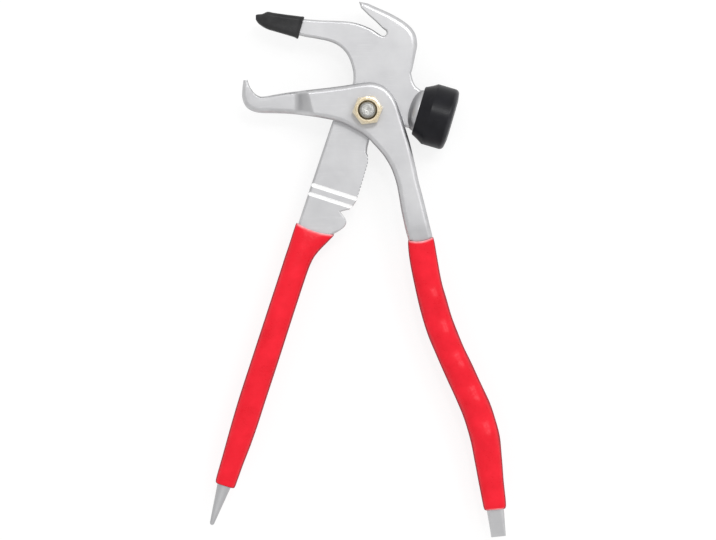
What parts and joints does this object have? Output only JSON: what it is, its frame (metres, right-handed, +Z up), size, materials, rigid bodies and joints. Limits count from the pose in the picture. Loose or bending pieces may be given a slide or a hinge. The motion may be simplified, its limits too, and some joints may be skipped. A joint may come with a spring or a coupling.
{
  "type": "wheel weight pliers",
  "caption": "Long-handled forged pliers for fitting and removing clip-on wheel weights, with booted jaw, claw, hammer cap, hook, shear edge, punch and pry blade.",
  "frame": {"origin": "the point on the table below the middle of the tool, as it lies flat with its nut up", "axes": "+X toward the hammer cap, +Y along the tool toward the claw, +Z up out of the nut, along the pivot bolt"},
  "size_m": [0.1432, 0.26, 0.0323],
  "materials": {
    "plated_steel": "satin bright plating over a drop-forged and shot-blasted surface",
    "zinc_fastener": "yellowish zinc plating",
    "black_nylon": "smooth moulded nylon, soft sheen",
    "black_rubber": "moulded rubber, dull",
    "red_vinyl": "soft dipped vinyl, slightly glossy"
  },
  "bodies": {
    "main_side": {"main_lever": "plated_steel", "pivot_bolt": "zinc_fastener", "pivot_nut": "zinc_fastener", "hammer_stud": "zinc_fastener", "hammer_cap": "black_nylon", "jaw_boot": "black_rubber", "main_grip": "red_vinyl"},
    "hook_side": {"hook_lever": "plated_steel", "hook_grip": "red_vinyl"}
  },
  "joints": [
    {"name": "pivot", "type": "hinge", "parent": "main_side", "child": "hook_side", "pos_m": [0.0044, 0.077, 0.0151], "axis": [0, 0, 1], "range_deg": [-25.2, 8.5]}
  ]
}
